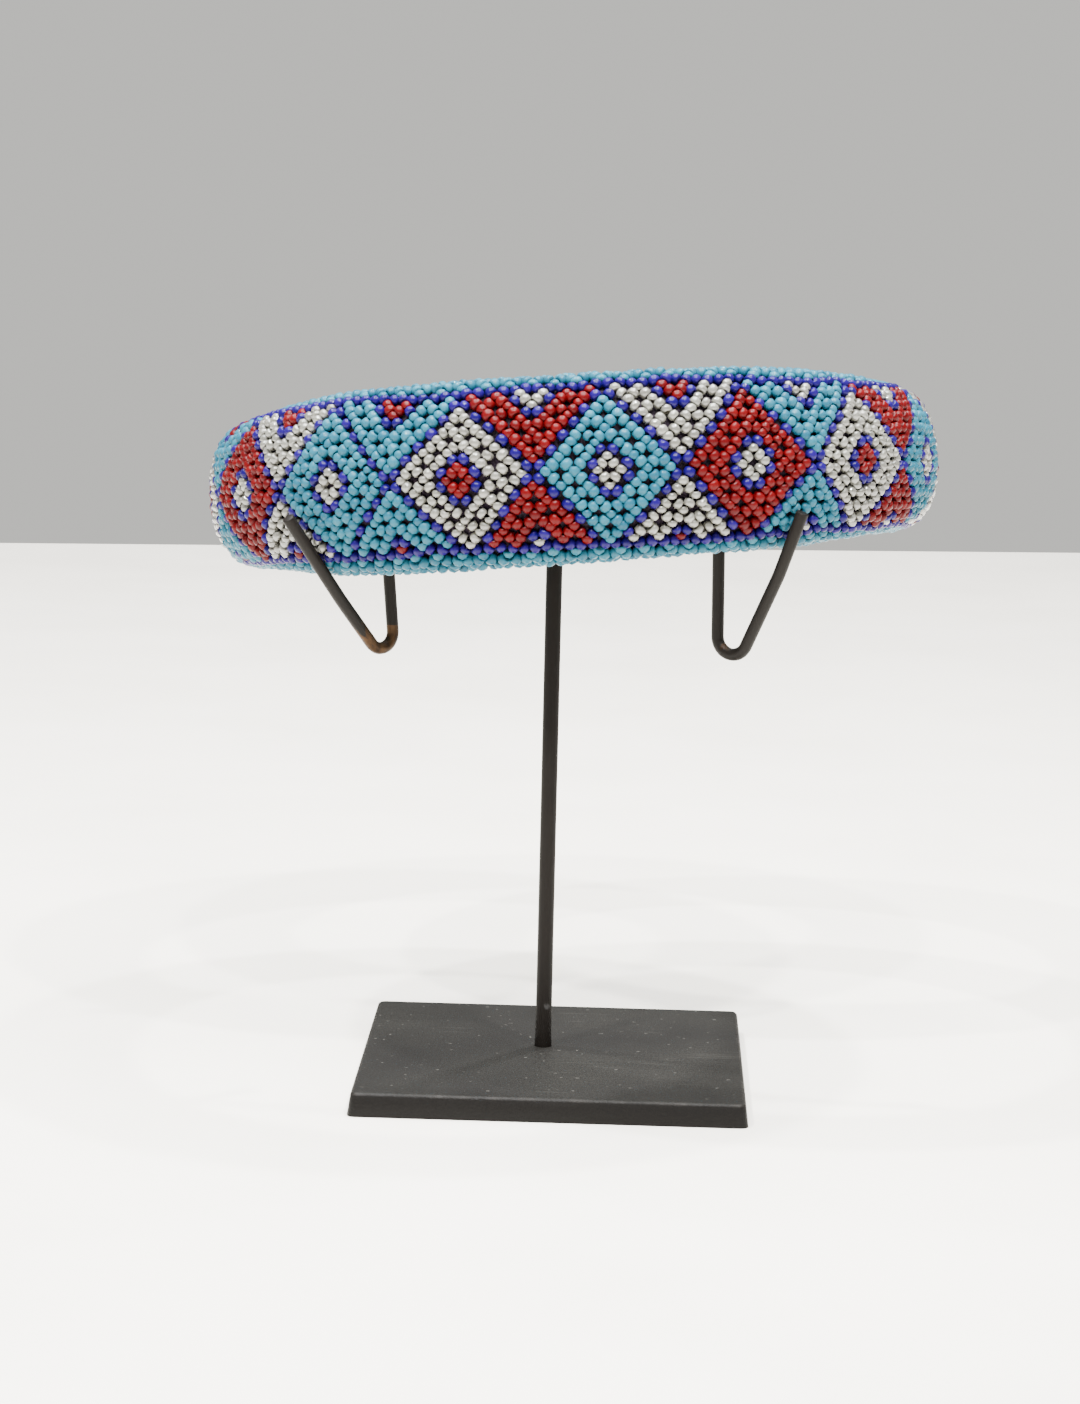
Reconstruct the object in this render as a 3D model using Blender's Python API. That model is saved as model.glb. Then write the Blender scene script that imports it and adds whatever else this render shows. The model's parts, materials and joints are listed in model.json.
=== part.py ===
"""Beaded headband on its plain wire display stand.

Metres, +Z up. The origin is under the post, on the surface that the base plate rests on.
-Y is the front, where the two hooks of the stand grip the band.
"""

import math
from collections import namedtuple

import bmesh
import bpy
from mathutils import Matrix, Vector

# Base plate
BASE_WIDTH = 0.1163
BASE_DEPTH = 0.1163
BASE_THICKNESS = 0.0070
BASE_EDGE_BEVEL = 0.0010
BASE_CENTRE_X = 0.0032
BASE_CENTRE_Y = -0.0050

# Post
POST_DIAMETER = 0.00476
POST_HEIGHT = 0.1630
SOCKET_DEPTH = 0.0035
SOCKET_CLEARANCE = 0.0003
POST_SIDES = 24

# Bent wire brazed across the top of the post
WIRE_DIAMETER = 0.0032
BAR_CORNER_RADIUS = 0.0060
KNEE_RADIUS = 0.0300
SEAT_CLEARANCE = 0.0003
SEAT_STEP = 0.00025
SEAT_TRIES = 240
ARC_STEP_DEGREES = 12.0

# The two V-shaped hooks were bent by hand, so each has its own row. The leg stands off the post and leans
# in at its foot; the arm goes out and up from the point of the V, through its knee, to its tip.
HOOK_SPREAD = 0.0485
HOOK_DEPTH = 0.0524
# Drop and rises are shares of HOOK_DEPTH, the bend's radius is one of WIRE_DIAMETER, the rest of HOOK_SPREAD
HOOK_SHARES = "side leg_x leg_lean vertex_drop bend_radius knee_reach knee_rise tip_reach tip_rise"
Hook = namedtuple("Hook", HOOK_SHARES)
HOOKS = (
    Hook(-1, 0.986, 0.082, 0.941, 1.22, 0.320, 0.450, 0.623, 0.926),
    Hook(+1, 1.014, -0.010, 1.038, 1.53, 0.365, 0.781, 0.480, 1.126),
)

# Band: a soft padded ring, squeezed tall and thin where the hooks grip it, and rounder behind
BAND_RADIUS = 0.1154
BAND_HEIGHT_FRONT = 0.0545
BAND_HEIGHT_BACK = 0.0457
BAND_WALL_FRONT = 0.0300
BAND_WALL_BACK = 0.0340
BAND_SQUARENESS_FRONT = 1.9
BAND_SQUARENESS_BACK = 2.45
GRIP_ENDS_DEGREES = 28.0
RELAXED_FROM_DEGREES = 80.0
BAR_BEHIND_POST = 0.0004
BAND_UNDERSIDE_BELOW_BAR = 0.0095
BAND_CENTRE_X = 0.0038
BAND_TILT_BACK = math.radians(7.0)
BAND_TILT_SIDE = math.radians(4.84)
BAND_SEGMENTS = 96
BAND_SECTION_POINTS = 32

STAND_PAINT = (0.040, 0.036, 0.032, 1.0)
BASE_PAINT = (0.082, 0.082, 0.076, 1.0)
BEAD_BLUE = (0.115, 0.429, 0.546, 1.0)

bar_z = BASE_THICKNESS + POST_HEIGHT
wire_radius = WIRE_DIAMETER / 2
post_radius = POST_DIAMETER / 2


def clear_scene():
    for obj in list(bpy.data.objects):
        bpy.data.objects.remove(obj, do_unlink=True)


def make_material(name, color, roughness, metallic):
    material = bpy.data.materials.new(name)
    material.use_nodes = True
    shader = material.node_tree.nodes["Principled BSDF"]
    shader.inputs["Base Color"].default_value = color
    shader.inputs["Roughness"].default_value = roughness
    shader.inputs["Metallic"].default_value = metallic
    return material


def add_object(name, mesh, material, smooth_degrees=30.0):
    obj = bpy.data.objects.new(name, mesh)
    bpy.context.scene.collection.objects.link(obj)
    mesh.materials.clear()
    mesh.materials.append(material)
    mesh.shade_smooth()
    mesh.set_sharp_from_angle(angle=math.radians(smooth_degrees))
    return obj


def mesh_from(name, bm):
    mesh = bpy.data.meshes.new(name)
    bmesh.ops.recalc_face_normals(bm, faces=bm.faces)
    bm.to_mesh(mesh)
    bm.free()
    return mesh


def hide_helper(obj):
    obj.hide_render = True
    obj.display_type = "WIRE"


def join_or_cut(obj, other, operation):
    """A Boolean with the EXACT solver; the other object stays as a hidden helper."""
    modifier = obj.modifiers.new(operation.lower(), "BOOLEAN")
    modifier.operation = operation
    modifier.solver = "EXACT"
    modifier.object = other
    hide_helper(other)


def cylinder(name, radius, bottom, top, sides=POST_SIDES):
    """An upright cylinder on the post's axis."""
    bm = bmesh.new()
    middle = Matrix.Translation((0, 0, (bottom + top) / 2))
    bmesh.ops.create_cone(
        bm, cap_ends=True, segments=sides, radius1=radius, radius2=radius, depth=top - bottom, matrix=middle
    )
    return mesh_from(name, bm)


def blend(angle):
    """1 where the hooks grip the band, 0 where it is relaxed, by the angle from the front."""
    turned = math.degrees(abs(angle))
    share = (turned - GRIP_ENDS_DEGREES) / (RELAXED_FROM_DEGREES - GRIP_ENDS_DEGREES)
    return 0.5 + 0.5 * math.cos(math.pi * min(max(share, 0.0), 1.0))


def band_section(angle):
    """Half height, half wall thickness and squareness of the band at an angle from the front."""
    grip = blend(angle)
    half_height = (BAND_HEIGHT_BACK + (BAND_HEIGHT_FRONT - BAND_HEIGHT_BACK) * grip) / 2
    half_wall = (BAND_WALL_BACK + (BAND_WALL_FRONT - BAND_WALL_BACK) * grip) / 2
    squareness = BAND_SQUARENESS_BACK + (BAND_SQUARENESS_FRONT - BAND_SQUARENESS_BACK) * grip
    return half_height, half_wall, squareness


def section_point(angle, turn):
    """Radius and height on the band's surface, where turn runs round the section from its outermost point."""
    half_height, half_wall, squareness = band_section(angle)
    power = 2.0 / squareness
    across = math.copysign(abs(math.cos(turn)) ** power, math.cos(turn))
    up = math.copysign(abs(math.sin(turn)) ** power, math.sin(turn))
    return BAND_RADIUS - half_wall + half_wall * across, half_height * up


def band_place():
    """The band's own frame: its centre, tipped back and to the side. Its inner face stands against the two
    legs, and the bar between them crosses the post's top."""
    front_middle = (BAND_RADIUS - BAND_WALL_FRONT / 2) * math.sin(BAND_TILT_BACK)
    legs_to_middle = math.sqrt((BAND_RADIUS - BAND_WALL_FRONT) ** 2 - HOOK_SPREAD**2)
    centre = Vector((
        BAND_CENTRE_X,
        BAR_BEHIND_POST + legs_to_middle - wire_radius - SEAT_CLEARANCE,
        bar_z - BAND_UNDERSIDE_BELOW_BAR + BAND_HEIGHT_FRONT / 2 - front_middle,
    ))
    tilt = Matrix.Rotation(-BAND_TILT_SIDE, 4, "Y") @ Matrix.Rotation(-BAND_TILT_BACK, 4, "X")
    return Matrix.Translation(centre) @ tilt


def band_gap(point, into_band):
    """Distance from a point to the band's surface, negative inside it."""
    local = into_band @ point
    radius = math.hypot(local.x, local.y)
    angle = math.atan2(local.x, -local.y)
    outline = [section_point(angle, math.tau * k / 72) for k in range(72)]
    nearest = min(math.hypot(radius - r, local.z - h) for r, h in outline)
    half_height, half_wall, squareness = band_section(angle)
    across = abs(radius - (BAND_RADIUS - half_wall)) / half_wall
    inside = across**squareness + (abs(local.z) / half_height) ** squareness < 1.0
    return -nearest if inside else nearest


def between(start, end, count=16):
    return [start.lerp(end, k / count) for k in range(count + 1)]


def first_clear(points_at, into_band):
    """The first offset at which a run of wire clears the band by the seat clearance."""
    need = wire_radius + SEAT_CLEARANCE
    for k in range(SEAT_TRIES):
        offset = k * SEAT_STEP
        if min(band_gap(point, into_band) for point in points_at(offset)) >= need:
            return offset
    return SEAT_TRIES * SEAT_STEP


def hook_points(hook, into_band):
    """Corners of one hook from the bar to its tip. The leg stands against the band's inner face, and the
    arm leans forward until it clears the outer face, so that the band sits in the V between them."""
    leg_x = hook.side * hook.leg_x * HOOK_SPREAD
    top_x = leg_x + hook.side * hook.leg_lean * HOOK_SPREAD
    vertex_z = bar_z - hook.vertex_drop * HOOK_DEPTH
    knee_reach = hook.side * hook.knee_reach * HOOK_SPREAD
    tip_reach = hook.side * hook.tip_reach * HOOK_SPREAD
    centre = into_band.inverted().translation
    middle_radius = BAND_RADIUS - BAND_WALL_FRONT / 2
    start_y = centre.y - math.sqrt(middle_radius**2 - (leg_x - centre.x) ** 2)

    def leg(offset):
        y = start_y + offset
        return between(Vector((top_x, y, bar_z)), Vector((leg_x, y, vertex_z)))

    leg_y = start_y + first_clear(leg, into_band)
    vertex = Vector((leg_x, leg_y, vertex_z))

    def arm(offset):
        knee_forward = offset * hook.knee_reach / hook.tip_reach
        knee = vertex + Vector((knee_reach, -knee_forward, hook.knee_rise * HOOK_DEPTH))
        tip = vertex + Vector((tip_reach, -offset, hook.tip_rise * HOOK_DEPTH))
        return between(vertex, knee) + between(knee, tip)

    corners = arm(first_clear(arm, into_band))
    return [Vector((top_x, leg_y, bar_z)), vertex, corners[len(corners) // 2], corners[-1]]


def rounded(corners, radii):
    """A path through the corners, with each one inside the ends turned into an arc of its radius."""
    path = [corners[0]]
    for before, corner, after, radius in zip(corners, corners[1:], corners[2:], radii):
        to_before = (before - corner).normalized()
        to_after = (after - corner).normalized()
        half = to_before.angle(to_after) / 2
        centre = corner + (to_before + to_after).normalized() * (radius / math.sin(half))
        start = corner + to_before * (radius / math.tan(half)) - centre
        axis = to_before.cross(to_after).normalized()
        sweep = math.pi - 2 * half
        steps = max(2, math.ceil(math.degrees(sweep) / ARC_STEP_DEGREES))
        for k in range(steps + 1):
            path.append(centre + Matrix.Rotation(-sweep * k / steps, 3, axis) @ start)
    return path + [corners[-1]]


def wire_path(into_band):
    """The whole wire, from the left tip down its V, along the bar and out to the right tip."""
    left, right = (hook_points(hook, into_band) for hook in HOOKS)
    corners = left[::-1] + right
    left_bend, right_bend = (hook.bend_radius * WIRE_DIAMETER for hook in HOOKS)
    radii = [KNEE_RADIUS, left_bend, BAR_CORNER_RADIUS, BAR_CORNER_RADIUS, right_bend, KNEE_RADIUS]
    return rounded(corners, radii)


def wire_mesh(name, path):
    """A round wire along the path with closed ends."""
    curve = bpy.data.curves.new(name, "CURVE")
    curve.dimensions = "3D"
    curve.bevel_depth = wire_radius
    curve.bevel_resolution = 4
    curve.use_fill_caps = True
    spline = curve.splines.new("POLY")
    spline.points.add(len(path) - 1)
    for point, place in zip(spline.points, path):
        point.co = (*place, 1.0)
    guide = bpy.data.objects.new(name, curve)
    bpy.context.scene.collection.objects.link(guide)
    graph = bpy.context.evaluated_depsgraph_get()
    mesh = bpy.data.meshes.new_from_object(guide.evaluated_get(graph))
    bpy.data.objects.remove(guide, do_unlink=True)
    bm = bmesh.new()
    bm.from_mesh(mesh)
    bmesh.ops.remove_doubles(bm, verts=bm.verts, dist=1e-6)
    return mesh_from(name, bm)


def make_base(material):
    """A square plate with bevelled upper edges and a blind seat for the post."""
    bm = bmesh.new()
    bmesh.ops.create_cube(bm, size=1.0)
    bmesh.ops.scale(bm, vec=(BASE_WIDTH, BASE_DEPTH, BASE_THICKNESS), verts=bm.verts)
    bmesh.ops.translate(bm, vec=(BASE_CENTRE_X, BASE_CENTRE_Y, BASE_THICKNESS / 2), verts=bm.verts)
    upper = [edge for edge in bm.edges if all(vert.co.z > BASE_THICKNESS / 2 for vert in edge.verts)]
    bmesh.ops.bevel(bm, geom=upper, offset=BASE_EDGE_BEVEL, segments=2, affect="EDGES", profile=0.5)
    base = add_object("stand_base", mesh_from("stand_base", bm), material)
    floor = BASE_THICKNESS - SOCKET_DEPTH
    socket = cylinder("post_socket", post_radius + SOCKET_CLEARANCE, floor, BASE_THICKNESS + SOCKET_DEPTH)
    join_or_cut(base, add_object("post_socket", socket, material), "DIFFERENCE")
    return base


def make_post_with_hooks(material, into_band):
    """The post and the bent wire brazed over its top, as one solid."""
    foot = BASE_THICKNESS - SOCKET_DEPTH + SOCKET_CLEARANCE
    post = add_object("post_with_hooks", cylinder("post_with_hooks", post_radius, foot, bar_z), material)
    wire = add_object("hook_wire", wire_mesh("hook_wire", wire_path(into_band)), material)
    join_or_cut(post, wire, "UNION")
    return post


def make_band(material, place):
    """The padded ring with its net of beads, as one closed form: a torus whose section follows the grip."""
    bpy.ops.mesh.primitive_torus_add(
        major_segments=BAND_SEGMENTS, minor_segments=BAND_SECTION_POINTS, major_radius=1.0, minor_radius=0.5
    )
    band = bpy.context.active_object
    band.name = "beaded_band"
    mesh = band.data
    mesh.name = "beaded_band"
    for vertex in mesh.vertices:
        angle = math.atan2(vertex.co.x, -vertex.co.y)
        turn = math.atan2(vertex.co.z, math.hypot(vertex.co.x, vertex.co.y) - 1.0)
        radius, height = section_point(angle, turn)
        vertex.co = place @ Vector((radius * math.sin(angle), -radius * math.cos(angle), height))
    mesh.materials.append(material)
    mesh.shade_smooth()
    return band


def main():
    clear_scene()
    stand_paint = make_material("stand_paint", STAND_PAINT, 0.45, 0.3)
    base_paint = make_material("base_paint", BASE_PAINT, 0.6, 0.3)
    beads = make_material("light_blue_beads", BEAD_BLUE, 0.2, 0.0)
    place = band_place()
    make_base(base_paint)
    make_post_with_hooks(stand_paint, place.inverted())
    make_band(beads, place)


main()
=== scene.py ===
# %% [markdown]
# A beaded headband on its display stand, modelled step by step.
#
# The real thing is a padded ring that a net of about 8,600 glass seed beads covers all over. It leans in
# the two wire hooks of a small black stand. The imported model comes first: it fixes every size and place,
# and each piece made here stands where one of its nodes is.

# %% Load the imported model
import json
import math
from collections import namedtuple

import bpy
import numpy as np
from mathutils import Matrix, Vector, noise

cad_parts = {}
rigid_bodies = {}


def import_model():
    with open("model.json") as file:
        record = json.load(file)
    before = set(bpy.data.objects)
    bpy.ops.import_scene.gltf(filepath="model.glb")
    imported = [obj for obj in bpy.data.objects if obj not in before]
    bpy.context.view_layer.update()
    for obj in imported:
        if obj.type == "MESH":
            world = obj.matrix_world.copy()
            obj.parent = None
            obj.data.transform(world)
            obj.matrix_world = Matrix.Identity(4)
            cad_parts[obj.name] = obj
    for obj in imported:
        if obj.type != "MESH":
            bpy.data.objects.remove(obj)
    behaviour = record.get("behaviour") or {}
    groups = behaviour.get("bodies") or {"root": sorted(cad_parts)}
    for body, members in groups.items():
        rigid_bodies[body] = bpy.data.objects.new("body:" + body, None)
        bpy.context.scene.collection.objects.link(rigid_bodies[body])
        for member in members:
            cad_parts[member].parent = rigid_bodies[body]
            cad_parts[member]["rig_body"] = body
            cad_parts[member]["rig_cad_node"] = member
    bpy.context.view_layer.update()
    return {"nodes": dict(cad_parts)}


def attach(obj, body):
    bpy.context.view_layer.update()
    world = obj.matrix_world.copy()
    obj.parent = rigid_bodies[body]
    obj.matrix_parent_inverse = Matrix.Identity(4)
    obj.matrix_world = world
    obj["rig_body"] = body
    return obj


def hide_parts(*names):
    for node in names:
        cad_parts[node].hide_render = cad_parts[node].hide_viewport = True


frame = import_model()
print("nodes", sorted(frame["nodes"]))

# %% [markdown]
# The camera stands a little over a metre in front and looks slightly down, through a long lens. Lens,
# place and tilt were worked out from the corners of the base plate and from beads that can be counted,
# so that the picture and the model share one perspective. A camera is placed like any object: turned
# about its own axis first (roll), then tipped from straight down to nearly level, then swung sideways.

# %% Camera
CAMERA_PLACE = Vector((0.02485, -1.0850, 0.2830))
CAMERA_LENS = 93.12
LOOKING_DOWN = math.radians(8.87)
SWUNG_LEFT = math.radians(1.49)
ROLLED = math.radians(1.34)

swing = Matrix.Rotation(SWUNG_LEFT, 4, "Z")
tip = Matrix.Rotation(math.pi / 2 - LOOKING_DOWN, 4, "X")
roll = Matrix.Rotation(ROLLED, 4, "Z")
camera_data = bpy.data.cameras.new("camera")
camera_data.lens = CAMERA_LENS
camera = bpy.data.objects.new("camera", camera_data)
camera.matrix_world = Matrix.Translation(CAMERA_PLACE) @ swing @ tip @ roll
bpy.context.scene.collection.objects.link(camera)
bpy.context.scene.camera = camera
print("camera", [round(x, 3) for x in camera.location], "lens", CAMERA_LENS)

# %% [markdown]
# A few helpers are used all through. Blender's operators act on everything that is selected, and the
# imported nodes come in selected, so each piece starts by clearing the selection. Edit mode has its own
# selection, of points, edges or faces, which select_where makes by their place.


# %% Helpers for modelling
def deselect_all():
    if bpy.context.object and bpy.context.object.mode != "OBJECT":
        bpy.ops.object.mode_set(mode="OBJECT")
    bpy.ops.object.select_all(action="DESELECT")


def select_where(kind, test):
    """In edit mode, select the points, edges or faces for which the test of their places holds."""
    bpy.ops.mesh.select_mode(type=kind)
    bpy.ops.mesh.select_all(action="DESELECT")
    bpy.ops.object.mode_set(mode="OBJECT")
    mesh = bpy.context.object.data
    if kind == "VERT":
        for vertex in mesh.vertices:
            vertex.select = bool(test([vertex.co]))
    else:
        for part in mesh.edges if kind == "EDGE" else mesh.polygons:
            part.select = bool(test([mesh.vertices[i].co for i in part.vertices]))
    bpy.ops.object.mode_set(mode="EDIT")


def apply_modifier(piece, kind, **settings):
    bpy.context.view_layer.objects.active = piece
    modifier = piece.modifiers.new(kind.lower(), kind)
    for name, value in settings.items():
        setattr(modifier, name, value)
    bpy.ops.object.modifier_apply(modifier=modifier.name)


# %% Helpers for materials
def new_material(name, roughness, **sockets):
    material = bpy.data.materials.new(name)
    material.use_nodes = True
    shader = material.node_tree.nodes["Principled BSDF"]
    shader.inputs["Roughness"].default_value = roughness
    for socket, value in sockets.items():
        shader.inputs[socket.replace("_", " ")].default_value = value
    return material, material.node_tree, shader


def cover(piece, material):
    """Give the piece this material alone."""
    piece.data.materials.clear()
    piece.data.materials.append(material)


def node(tree, kind, values=None, **settings):
    """Add a node, set its properties, and give its inputs a value or the output that feeds them."""
    made = tree.nodes.new(kind)
    for name, value in settings.items():
        setattr(made, name, value)
    for socket, value in (values or {}).items():
        if isinstance(value, bpy.types.NodeSocket):
            tree.links.new(value, made.inputs[socket])
        else:
            made.inputs[socket].default_value = value
    return made


def math_node(tree, operation, first, second=0.0):
    return node(tree, "ShaderNodeMath", {0: first, 1: second}, operation=operation).outputs[0]


def ramp_node(tree, value, low, high):
    """0 up to the low level, 1 from the high level, and even in between."""
    return node(tree, "ShaderNodeMapRange", {"Value": value, "From Min": low, "From Max": high}).outputs[0]


def mix_colours(tree, share, first, second):
    mixed = tree.nodes.new("ShaderNodeMix")
    mixed.data_type = "RGBA"
    for socket, value in ((mixed.inputs[0], share), (mixed.inputs[6], first), (mixed.inputs[7], second)):
        if isinstance(value, bpy.types.NodeSocket):
            tree.links.new(value, socket)
        else:
            socket.default_value = value
    return mixed.outputs[2]


def noise_mask(tree, place, scale, low, high, detail=2.0):
    """A cloudy mask from 0 to 1: noise between two levels. Close levels make hard-edged spots."""
    cloud = node(tree, "ShaderNodeTexNoise", {"Vector": place, "Scale": scale, "Detail": detail})
    return ramp_node(tree, cloud.outputs[0], low, high)


def new_group(name, inputs, outputs):
    """A node group with named sockets. Each is given as a name and its kind, Color or Float."""
    group = bpy.data.node_groups.new(name, "ShaderNodeTree")
    for sockets, way in ((inputs, "INPUT"), (outputs, "OUTPUT")):
        for socket, kind in sockets.items():
            group.interface.new_socket(socket, in_out=way, socket_type=f"NodeSocket{kind}")
    return group, group.nodes.new("NodeGroupInput").outputs, group.nodes.new("NodeGroupOutput").inputs


def place_group(tree, group, values):
    placed = tree.nodes.new("ShaderNodeGroup")
    placed.node_tree = group
    for socket, value in values.items():
        placed.inputs[socket].default_value = value
    return placed.outputs


# %% [markdown]
# The floor is one pale sheet that ends behind the object, with plain grey air beyond it. Its far edge
# runs a little askew to the base plate. Faint clouds in its colour keep it from looking like paper.

# %% Floor
FLOOR_WIDTH = 6.0
FLOOR_FRONT = -4.0
FLOOR_BACK = 1.427
FLOOR_ASKEW = 0.153
FLOOR_WHITE = (0.89, 0.855, 0.78, 1.0)
FLOOR_SHADE = (0.82, 0.785, 0.71, 1.0)

deselect_all()
bpy.ops.mesh.primitive_plane_add(size=1.0, location=(0, (FLOOR_FRONT + FLOOR_BACK) / 2, 0))
floor = bpy.context.object
floor.name = "floor"
floor.scale = (FLOOR_WIDTH, FLOOR_BACK - FLOOR_FRONT, 1)
bpy.ops.object.transform_apply(location=True, rotation=True, scale=True)
for vertex in floor.data.vertices:
    if vertex.co.y > 0:
        vertex.co.y += vertex.co.x * FLOOR_ASKEW
floor_paint, tree, shader = new_material("floor_paint", 0.6)
place = node(tree, "ShaderNodeTexCoord").outputs["Object"]
clouds = noise_mask(tree, place, 9.0, 0.4, 0.75, detail=6.0)
tree.links.new(mix_colours(tree, clouds, FLOOR_WHITE, FLOOR_SHADE), shader.inputs["Base Color"])
cover(floor, floor_paint)
print("floor", FLOOR_WIDTH, "by", round(FLOOR_BACK - FLOOR_FRONT, 2), "m")

# %% [markdown]
# Five small lamps hang over the object, and one wide, weak one fills the room. Each small lamp lays a
# soft ring of shadow on the floor; their places were found from such rings. A lamp's size sets how soft
# its shadow is. The world adds an even grey.

# %% Lights
Lamp = namedtuple("Lamp", "name place size power")
LAMPS = (
    Lamp("lamp_back_right", (0.22, 0.31, 1.08), 0.05, 14.0),
    Lamp("lamp_front_right", (0.33, -0.46, 1.16), 0.05, 20.0),
    Lamp("lamp_front", (0.04, -0.71, 1.22), 0.05, 24.0),
    Lamp("lamp_front_left", (-0.60, -0.75, 1.53), 0.05, 38.0),
    Lamp("lamp_back_left", (-0.45, 0.17, 1.30), 0.05, 20.0),
    Lamp("lamp_wide", (0.0, 0.0, 2.6), 3.0, 260.0),
)
AIM = Vector((0, 0.05, 0.12))
WORLD_GREY = (0.69, 0.685, 0.655, 1.0)

for lamp in LAMPS:
    light = bpy.data.lights.new(lamp.name, "AREA")
    light.shape = "DISK"
    light.size = lamp.size
    light.energy = lamp.power
    holder = bpy.data.objects.new(lamp.name, light)
    holder.location = lamp.place
    holder.rotation_euler = (AIM - Vector(lamp.place)).to_track_quat("-Z", "Y").to_euler()
    holder.visible_camera = False
    bpy.context.scene.collection.objects.link(holder)
world = bpy.data.worlds.new("grey_air")
world.use_nodes = True
world.node_tree.nodes["Background"].inputs["Color"].default_value = WORLD_GREY
bpy.context.scene.world = world
print(len(LAMPS), "lamps")

# %% [markdown]
# The ring's form. Cut anywhere, the band shows a rounded section: tall and narrow in front, where the
# hooks squeeze it, and lower and thicker from the sides to the back, where nothing holds it. A
# superellipse gives both with one squareness value (2 is an ellipse, more is boxier). The whole ring
# tips back and leans to its left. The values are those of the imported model.

# %% Section of the band
Section = namedtuple("Section", "height wall squareness")
GRIPPED = Section(0.0545, 0.0300, 1.9)
RELAXED = Section(0.0457, 0.0340, 2.45)
GRIP_ENDS = math.radians(28.0)
RELAXED_FROM = math.radians(80.0)
RING_RADIUS = 0.1154
RING_CENTRE = Vector((0.0038, 0.06878, 0.17551))
TIPPED_BACK = math.radians(7.0)
LEANING_LEFT = math.radians(4.84)
OUTLINE_STEPS = 720

lean = Matrix.Rotation(-LEANING_LEFT, 4, "Y") @ Matrix.Rotation(-TIPPED_BACK, 4, "X")
ring_place = np.array(Matrix.Translation(RING_CENTRE) @ lean)


def section_outline(angle, depth):
    """Radius and height of points round the section at an angle from the front, a depth under the surface."""
    share = np.clip((abs(angle) - GRIP_ENDS) / (RELAXED_FROM - GRIP_ENDS), 0, 1)
    grip = 0.5 + 0.5 * math.cos(math.pi * share)
    height, wall, squareness = (loose + (tight - loose) * grip for tight, loose in zip(GRIPPED, RELAXED))
    turn = np.linspace(-math.pi, math.pi, OUTLINE_STEPS, endpoint=False)
    radius = np.sign(np.cos(turn)) * np.abs(np.cos(turn)) ** (2 / squareness) * wall / 2
    rise = np.sign(np.sin(turn)) * np.abs(np.sin(turn)) ** (2 / squareness) * height / 2
    along_radius = np.roll(radius, -1) - np.roll(radius, 1)
    along_rise = np.roll(rise, -1) - np.roll(rise, 1)
    length = np.hypot(along_radius, along_rise)
    inward = np.array([-along_rise, along_radius]) / length * depth
    return RING_RADIUS - wall / 2 + radius + inward[0], rise + inward[1]


for degrees in (0, 90, 180):
    radius, rise = section_outline(math.radians(degrees), 0.0)
    print(degrees, "degrees round: radius", round(radius.max(), 4), "height", round(rise.max() - rise.min(), 4))

# %% [markdown]
# The net's grid. Seen flat, the beadwork is a diagonal net: one bead sits at every crossing of the
# thread (a node bead), and one on every thread between two crossings (a side bead). A grid of 192 columns
# round the ring and 30 rows round its section carries it all: nodes stand where column plus row is odd,
# side beads at all the half steps, and the remaining crossings stay open as small dark holes. The rows
# share the outline of the section, so they follow it whether it is tall or round. A real net is worked by
# hand and pulls a little this way and that, so a few long waves move the grid. A short table says how the
# net sits at some angles: which row is at the middle, how much tighter its rows are outside than inside
# the ring, and how far the beads under the bottom border hang down.

# %% Grid of the net
COLUMNS = 192
ROWS = 30
FIRST_DIAMOND = math.radians(6.77)
PULLED_TO_FRONT = math.radians(0.6)
BEAD_DEPTH = 0.00165
Sits = namedtuple("Sits", "degrees middle_row tighter hangs")
NET_SITS = (
    Sits(-180, 0.43, 0.000, 0.0003),
    Sits(-75, 0.30, 0.000, 0.0005),
    Sits(-45, 0.25, 0.010, 0.0010),
    Sits(-17, 0.47, 0.065, 0.0014),
    Sits(7, 0.43, 0.000, 0.0012),
    Sits(29, 0.43, 0.005, 0.0001),
    Sits(41, 0.50, 0.080, 0.0000),
    Sits(55, 0.60, 0.080, 0.0000),
    Sits(85, 0.43, 0.010, 0.0001),
    Sits(180, 0.43, 0.000, 0.0003),
)

column_angles = FIRST_DIAMOND + math.pi * np.arange(2 * COLUMNS) / COLUMNS
column_angles -= PULLED_TO_FRONT * np.sin(2 * (column_angles - FIRST_DIAMOND))
column_angles = (column_angles + math.pi) % math.tau - math.pi
row_numbers = np.arange(2 * ROWS) / 2 - ROWS / 2
sits_degrees, *sits_columns = zip(*NET_SITS)
middle_rows, tighter, hangs = (np.interp(np.degrees(column_angles), sits_degrees, c) for c in sits_columns)


def grid_points(depth):
    """Places in the frame of every half step of the net, as an array of half columns by half rows."""
    points = np.zeros((2 * COLUMNS, 2 * ROWS, 3))
    for half_column, angle in enumerate(column_angles):
        radius, rise = section_outline(angle, depth)
        radius, rise = np.append(radius, radius[0]), np.append(rise, rise[0])
        run = np.append(0.0, np.cumsum(np.hypot(np.diff(radius), np.diff(rise))))
        share = (row_numbers - middle_rows[half_column]) / ROWS
        share -= tighter[half_column] * np.sin(math.tau * share) / math.tau
        wanted = run[-1] * ((share + 0.5) % 1)
        r, h = np.interp(wanted, run, radius), np.interp(wanted, run, rise)
        points[half_column] = np.stack([r * math.sin(angle), -r * math.cos(angle), h], axis=1)
    return points @ ring_place[:3, :3].T + ring_place[:3, 3]


def unit(vectors):
    return vectors / np.linalg.norm(vectors, axis=-1, keepdims=True)


def neighbours(points):
    """Steps to the right and to the top at every point of the grid, and the direction out of the ring."""
    right = (np.roll(points, -1, axis=0) - np.roll(points, 1, axis=0)) / 2
    top = (np.roll(points, -1, axis=1) - np.roll(points, 1, axis=1)) / 2
    return right, top, unit(np.cross(right, top))


# %% Lay out the grid
WAVES = 24
WAVE_HEIGHT = 0.00009
HANGING_ROWS = (-5.0, -11.5)

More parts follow.
